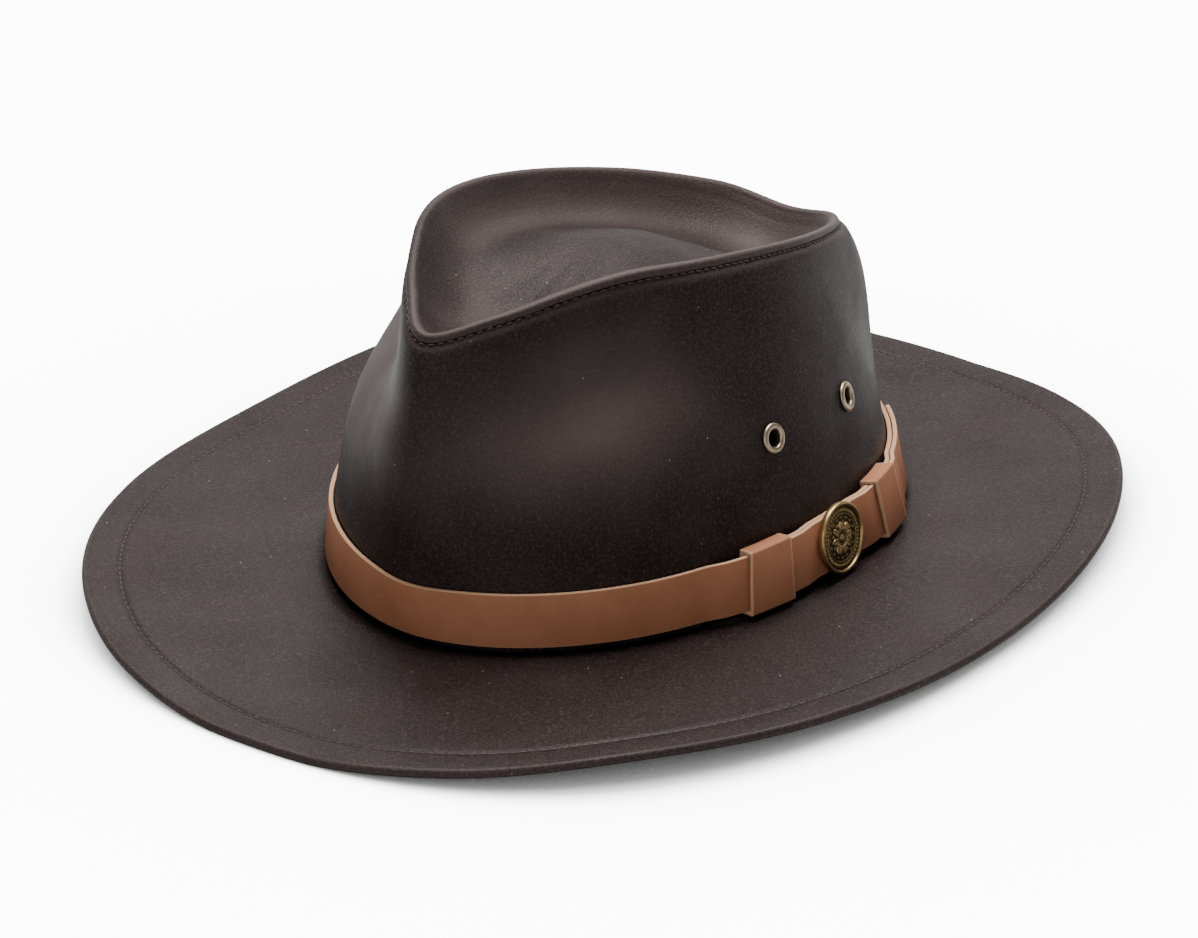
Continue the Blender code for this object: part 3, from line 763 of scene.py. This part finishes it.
def sewLine(name, pointAt, normalAt):
    # one small rounded bar for each stitch along a closed line
    samples = stitching["samples"]
    line = [pointAt(360.0 * i / samples) for i in range(samples + 1)]
    lengths = [0.0]
    for before, after in zip(line, line[1:]):
        lengths.append(lengths[-1] + (after - before).length)
    count = round(lengths[-1] / stitching["pitch"])
    mesh = bmesh.new()
    place = 0
    for i in range(count):
        target = lengths[-1] * i / count
        while lengths[place + 1] < target:
            place += 1
        share = (target - lengths[place]) / (lengths[place + 1] - lengths[place])
        angle = 360.0 * (place + share) / samples
        along = (pointAt(angle + 0.2) - pointAt(angle - 0.2)).normalized()
        outward = normalAt(angle)
        side = outward.cross(along).normalized()
        outward = along.cross(side).normalized()
        turn = Matrix((along, side, outward)).transposed().to_4x4()
        size = Matrix.Diagonal((stitching["length"] / 2, stitching["radius"], stitching["radius"], 1.0))
        bmesh.ops.create_uvsphere(mesh, u_segments=6, v_segments=5, radius=1.0,
                                  matrix=Matrix.Translation(pointAt(angle)) @ turn @ size)
    return makePiece(mesh, name, thread)


def brimTop(angle, inset):
    inner, outer = brimEnds(angle)
    return brimUnder(angle, 1.0 - inset / (outer - inner).length) + up * hatForm["brimThickness"]


def brimStitchPoint(angle):
    sunk = brimCloth["grooveDepth"] - stitching["radius"] * 0.6
    return brimTop(angle, brimCloth["stitchInset"]) - up * sunk


def tipStitchNormal(angle):
    return sideFrame(angle, 1.0, 0.04)[1]


def tipStitchPoint(angle):
    return sideFrame(angle, 1.0, 0.04)[0] - tipStitchNormal(angle) * stitching["seamSunk"]


sewLine("brimStitches", brimStitchPoint, lambda angle: up)
sewLine("tipStitches", tipStitchPoint, tipStitchNormal)
print("stitches made")


# Leather band and keepers

strap = {
    "height": 0.0181,
    "stand": 0.0008,
    "leather": 0.0015,
    "corner": 0.00035,
    "lapStart": 74.0,
    "lapEnd": 150.0,
    "lapRamp": 14.0,
    "columns": 560,
}
keeper = {
    "leather": 0.0012,
    "width": 0.0175,
    "margin": 0.0060,
    "ease": 0.0100,
    "angles": {"keeperFront": 74.0, "keeperRear": 112.5},
    "nodes": {"keeperFront": "keeper_front", "keeperRear": "keeper_rear"},
    "crown": 0.0005,         # how much the loop bulges from the strap
    "round": 0.0007,
    "slotRound": 0.0002,
    "columns": 26,
}
bandLift = keeper["leather"] + 2 * hatForm["gap"] + strap["stand"]


@functools.lru_cache(maxsize=None)
def bandLine(angle):
    tall = seamPoint(angle).z - footHeight(angle) - hatForm["gap"]
    levels = [(height - hatForm["gap"]) / tall for height in (bandLift, bandLift + strap["height"])]
    low, normalLow, _ = sideFrame(angle, levels[0])
    high, normalHigh, _ = sideFrame(angle, levels[1])
    upward = (high - low).normalized()
    outward = (normalLow + normalHigh).normalized()
    middle = sidePoint(angle, sum(levels) / 2)
    bow = max(0.0, (middle - low).dot(outward), (high - low).dot(outward))
    return low, upward, outward, bow


def wallPlace(angle, height, out):
    low, upward, outward, bow = bandLine(angle)
    return low + upward * (height - bandLift) + outward * (out + bow)


@functools.lru_cache(maxsize=None)
def arcRadius(angle):
    chord = headPoint(angle + 0.5, hatForm["crownWall"]) - headPoint(angle - 0.5, hatForm["crownWall"])
    return chord.length / math.radians(1.0)


def strapInner(angle):
    stand = 0.0
    for middle in keeper["angles"].values():
        past = math.radians(sideAngle(angle - middle)) * arcRadius(middle)
        past -= keeper["width"] / 2 + keeper["margin"]
        stand = max(stand, (keeper["leather"] + hatForm["gap"]) * (1.0 - ease(past / keeper["ease"])))
    lap = ease((angle - strap["lapStart"] - 360.0 + strap["lapRamp"]) / strap["lapRamp"])
    return hatForm["gap"] + stand + lap * (strap["leather"] + hatForm["gap"])


def roundedSection(height, thickness, corner):
    # outline of a strap's cut end as (height, out) pairs with rounded corners
    outline = []
    hubs = ((corner, corner, 270), (corner, thickness - corner, 180), (height - corner, thickness - corner, 90),
            (height - corner, corner, 0))
    for middle, out, start in hubs:
        for i in range(4):
            turn = math.radians(start - 30 * i)
            outline.append((middle + corner * math.cos(turn), out + corner * math.sin(turn)))
    return outline


strapSection = roundedSection(strap["height"], strap["leather"], strap["corner"])
strapTotal = 360.0 + strap["lapEnd"] - strap["lapStart"]


def strapSurface(column, row):
    angle = strap["lapStart"] + strapTotal * column / strap["columns"]
    height, out = strapSection[row % len(strapSection)]
    return wallPlace(angle, bandLift + height, strapInner(angle) + out)


def strapWear(column, row, point):
    # raw, paler fibre on the cut edges
    height = strapSection[row % len(strapSection)][0]
    fromEdge = min(height, strap["height"] - height)
    return ease(2.0 * (1.0 - fromEdge / strap["corner"]))


strapMesh = shapedGrid(strap["columns"], len(strapSection), strapSurface, strapWear)
ends = [edge for edge in strapMesh.edges if edge.is_boundary]
bmesh.ops.holes_fill(strapMesh, edges=ends, sides=0)
bmesh.ops.recalc_face_normals(strapMesh, faces=strapMesh.faces)
makePiece(strapMesh, "hatBand", leather, ["hat_band"])

for keeperName, middle in keeper["angles"].items():
    half = math.degrees(keeper["width"] / 2 / arcRadius(middle))
    tall = strap["height"] + 2 * hatForm["gap"]
    deep = 2 * strap["leather"] + 3 * hatForm["gap"]
    grow = keeper["leather"]
    inside = roundedSection(tall, deep, keeper["slotRound"])
    outside = roundedSection(tall + 2 * grow, deep + 2 * grow, keeper["round"])
    count = len(inside)
    rows = [("outside", -1.0 + 2.0 * i / keeper["columns"]) for i in range(keeper["columns"] + 1)]
    rows += [("inside", 1.0), ("inside", 0.0), ("inside", -1.0)]

    def keeperSurface(column, row):
        kind, share = rows[row % len(rows)]
        angle = middle + half * share
        inner = strapInner(angle) - hatForm["gap"]
        if kind == "inside":
            height, out = inside[column % count]
            return wallPlace(angle, bandLift - hatForm["gap"] + height, inner + out)
        height, out = outside[column % count]
        height, out = height - grow, out - grow
        front = ease((out - deep / 2) / (deep / 2))
        rise = keeper["crown"] * front * math.sin(math.pi * min(max(height / tall, 0.0), 1.0))
        return wallPlace(angle, bandLift - hatForm["gap"] + height, inner + out + rise)

    keeperMesh = shapedGrid(count, len(rows), keeperSurface)
    wearLayer = keeperMesh.verts.layers.float.new("wear")
    bmesh.ops.recalc_face_normals(keeperMesh, faces=keeperMesh.faces)
    for vert in keeperMesh.verts:
        along = (wallPlace(middle + 1.0, bandLift, 0.0) - wallPlace(middle - 1.0, bandLift, 0.0)).normalized()
        across = max(abs(face.normal.dot(along)) for face in vert.link_faces)
        vert[wearLayer] = ease((across - 0.75) / 0.2)
    makePiece(keeperMesh, keeperName, leather, [keeper["nodes"][keeperName]])
print("leather made")


# Badge

badge = {
    "angle": 93.0,
    "radius": 0.0117,
    "thickness": 0.0024,
    "rim": 0.0013,
    "relief": 0.0005,
    "post": 0.0015,
    "height": 0.0095,
    "petals": 8,
    "beads": 44,
    "around": 352,
    "rings": 58,
    "ringStep": 0.0165,      # share of the field between two rings of vertices
    "lowWear": 0.22,
    "highWear": 0.70,
}


def badgeMatrix():
    outer = strapInner(badge["angle"] + 360.0) + strap["leather"] + hatForm["gap"]
    low = wallPlace(badge["angle"], bandLift, outer)
    upward = (wallPlace(badge["angle"], bandLift + strap["height"], outer) - low).normalized()
    along = wallPlace(badge["angle"] + 1.0, bandLift, outer) - wallPlace(badge["angle"] - 1.0, bandLift, outer)
    return standMatrix(low + upward * badge["height"], along.cross(upward).normalized(), upward)


badgeFloor = badge["thickness"] - 2 * badge["relief"]
badgeField = badge["radius"] - badge["rim"]
badgeRings = [(badge["post"], -strapInner(badge["angle"] + 360.0) - strap["leather"]), (badge["post"], 0.0),
              (badge["radius"] - 0.4 * badge["rim"], 0.0)]
badgeRings += [(badge["radius"] - badge["rim"] * inset, badge["thickness"] * height) for inset, height in (
    (0.12, 0.12), (0.0, 0.3), (0.0, 0.7), (0.08, 0.86), (0.22, 0.96), (0.4, 1.0), (0.62, 1.0), (0.8, 0.94),
    (0.92, 0.8), (1.0, 0.62))]
badgeReach = [0.985 - badge["ringStep"] * i for i in range(badge["rings"])]


def badgeHeight(reach, turn):
    # relief above the field, in shares of the relief height: beads, two fine rings and a rosette
    beads = 1.5 * hump(reach - 0.87, 0.060) * (0.25 + 0.75 * abs(math.cos(badge["beads"] / 2 * turn)))
    rings = 1.0 * hump(reach - 0.755, 0.018) + 0.8 * hump(reach - 0.20, 0.020)
    petal = abs(math.cos(badge["petals"] / 2 * turn)) ** 0.9
    reachOut = 0.26 + 0.30 * petal
    leaf = 1.4 * ease((reachOut - reach) / 0.06) * ease((reach - 0.22) / 0.05)
    vein = 1.1 * leaf * hump(math.sin(badge["petals"] / 2 * turn) * reach, 0.026)
    tips = abs(math.sin(badge["petals"] / 2 * turn)) ** 5
    back = 1.1 * tips * hump(reach - 0.47, 0.08)
    back += 0.9 * abs(math.sin(badge["petals"] * turn)) ** 1.5 * hump(reach - 0.64, 0.045)
    button = 1.6 * ease((0.16 - reach) / 0.10)
    return beads + rings + leaf - vein + back + button


def badgeSurface(column, row):
    turn = 2 * math.pi * (column % badge["around"]) / badge["around"]
    if row < len(badgeRings):
        radius, height = badgeRings[row]
    else:
        reach = badgeReach[row - len(badgeRings)]
        radius = badgeField * reach
        height = badgeFloor + badge["relief"] * badgeHeight(reach, turn)
    return Vector((radius * math.cos(turn), radius * math.sin(turn), height))


badgeMesh = shapedGrid(badge["around"], len(badgeRings) + len(badgeReach) - 1, badgeSurface)
openEdges = [edge for edge in badgeMesh.edges if edge.is_boundary]
bmesh.ops.holes_fill(badgeMesh, edges=openEdges, sides=0)
bmesh.ops.recalc_face_normals(badgeMesh, faces=badgeMesh.faces)
wearLayer = badgeMesh.verts.layers.float.new("wear")
for vert in badgeMesh.verts:
    onRim = ease((vert.co.xy.length - badgeField) / (0.2 * badge["rim"]))
    relief = (vert.co.z - badgeFloor) / badge["relief"]
    vert[wearLayer] = max(onRim, badge["lowWear"] + badge["highWear"] * ease(relief - 0.15))
badgeMesh.transform(badgeMatrix())
makePiece(badgeMesh, "badgeDisc", brass, ["badge"])
print("badge made")


# Eyelets

def eyeletOutline():
    # from the crimped back, through the bore, over the rolled rim to where it meets the cloth
    bore, barrel, radius, flange = (eyelets[key] for key in ("bore", "barrel", "radius", "flange"))
    back = -hatForm["crownWall"] - 0.0006
    outline = [(barrel, back), (radius, back), (radius, back - 0.0004), (radius - 0.0005, back - 0.0007),
               (bore + 0.0003, back - 0.0007), (bore, back - 0.0004), (bore, 0.0)]
    middle, half = (radius + bore) / 2, (radius - bore) / 2
    for i in range(9):
        turn = math.pi * (1.0 - i / 8)
        outline.append((middle + half * math.cos(turn), 0.0003 + flange * math.sin(turn)))
    outline += [(radius, 0.0001), (barrel, 0.0001)]
    return outline


nodeNames = {"eyeletLeftFront": "eyelet_left_front", "eyeletLeftRear": "eyelet_left_rear",
             "eyeletRightFront": "eyelet_right_front", "eyeletRightRear": "eyelet_right_rear"}
for eyeletName, eyeletAngle in eyelets["angles"].items():
    ringMesh = bmesh.new()
    outline = [ringMesh.verts.new((radius, 0.0, height)) for radius, height in eyeletOutline()]
    edges = [ringMesh.edges.new(pair) for pair in zip(outline, outline[1:] + outline[:1])]
    bmesh.ops.spin(ringMesh, geom=outline + edges, cent=(0, 0, 0), axis=(0, 0, 1), dvec=(0, 0, 0),
                   angle=2 * math.pi, steps=eyelets["segments"], use_merge=True)
    bmesh.ops.remove_doubles(ringMesh, verts=ringMesh.verts, dist=1e-6)
    bmesh.ops.recalc_face_normals(ringMesh, faces=ringMesh.faces)
    wearLayer = ringMesh.verts.layers.float.new("wear")
    for vert in ringMesh.verts:
        vert[wearLayer] = 0.25 + 0.7 * ease((vert.co.z + 0.0002) / 0.0008)
    ringMesh.transform(standMatrix(*sideFrame(eyeletAngle, eyelets["level"])))
    makePiece(ringMesh, eyeletName, paleBrass, [nodeNames[eyeletName]])
print("eyelets made")


# Camera, floor and light

cameraLook = {"azimuth": 37.3314, "elevation": 25.3085, "distance": 2.4777, "roll": -0.6245,
              "aim": (-0.0029, -0.0215, 0.05), "lens": 230.11, "sensor": 36.0}


def makeCamera():
    turn, lift, roll = (math.radians(cameraLook[key]) for key in ("azimuth", "elevation", "roll"))
    back = Vector((math.sin(turn) * math.cos(lift), -math.cos(turn) * math.cos(lift), math.sin(lift)))
    right = Vector((math.cos(turn), math.sin(turn), 0.0))
    upward = back.cross(right)
    aside, above, height = cameraLook["aim"]
    place = Vector((0.0, 0.0, height)) + right * aside + upward * above + back * cameraLook["distance"]
    rolledRight = right * math.cos(roll) + upward * math.sin(roll)
    rolledUp = upward * math.cos(roll) - right * math.sin(roll)
    data = bpy.data.cameras.new("camera")
    data.lens = cameraLook["lens"]
    data.sensor_width = cameraLook["sensor"]
    camera = bpy.data.objects.new("camera", data)
    bpy.context.collection.objects.link(camera)
    turned = Matrix((rolledRight, rolledUp, back)).transposed().to_4x4()
    camera.matrix_world = Matrix.Translation(place) @ turned
    bpy.context.scene.camera = camera


studio = {
    "floor": "#c9c9c9",
    "floorSize": 6.0,
    "floorRoughness": 0.9,
    "floorGlow": 20.0,       # the white of the background, which the hat doesn't see
    "shadeReach": 0.25,      # how far a thing over the floor dims its glow, painting a soft shadow
    "shadePower": 3.0,
    "world": 0.20,
    "aim": (0.0, 0.0, 0.05),
    # name, power, place, width, height
    "panels": (
        ("overhead", 47.0, (-0.20, 0.35, 1.30), 0.9, 0.9),
        ("frontPanel", 12.5, (0.80, -1.90, 0.80), 1.4, 1.0),
        ("backPanel", 18.0, (-1.35, 1.75, 0.75), 3.8, 1.4),
    ),
}


def makeStudio():
    floorMesh = bmesh.new()
    bmesh.ops.create_grid(floorMesh, x_segments=1, y_segments=1, size=studio["floorSize"])
    floorData = bpy.data.meshes.new("floor")
    floorMesh.to_mesh(floorData)
    floorMesh.free()
    floor = bpy.data.objects.new("floor", floorData)
    bpy.context.collection.objects.link(floor)
    material, tree, shader = newMaterial("seamlessPaper")
    shader.inputs["Base Color"].default_value = linear(studio["floor"])
    shader.inputs["Roughness"].default_value = studio["floorRoughness"]
    floorData.materials.append(material)
    world = bpy.data.worlds.new("studio")
    world.use_nodes = True
    world.node_tree.nodes["Background"].inputs["Color"].default_value = (1.0, 1.0, 1.0, 1.0)
    world.node_tree.nodes["Background"].inputs["Strength"].default_value = studio["world"]
    bpy.context.scene.world = world
    shader.inputs["Emission Color"].default_value = linear(studio["floor"])
    # ambient occlusion dims the floor's glow near the hat: a painted contact shadow
    paintedShadowOcclusion = addNode(tree, "AmbientOcclusion", {"Distance": studio["shadeReach"]}, samples=4)
    shade = addNode(tree, "Math", {0: paintedShadowOcclusion.outputs["AO"], 1: studio["shadePower"]}, operation="POWER")
    direct = addNode(tree, "LightPath")
    shown = addNode(tree, "Math", {0: shade.outputs["Value"], 1: direct.outputs["Is Camera Ray"]},
                    operation="MULTIPLY")
    glow = addNode(tree, "Math", {0: shown.outputs["Value"], 1: studio["floorGlow"]}, operation="MULTIPLY")
    tree.links.new(glow.outputs["Value"], shader.inputs["Emission Strength"])
    for lightName, power, place, width, height in studio["panels"]:
        data = bpy.data.lights.new(lightName, "AREA")
        data.energy = power
        data.shape = "RECTANGLE"
        data.size = width
        data.size_y = height
        light = bpy.data.objects.new(lightName, data)
        bpy.context.collection.objects.link(light)
        light.location = place
        aim = Vector(studio["aim"]) - light.location
        light.rotation_euler = aim.to_track_quat("-Z", "Y").to_euler()


makeCamera()
makeStudio()
print("studio made")
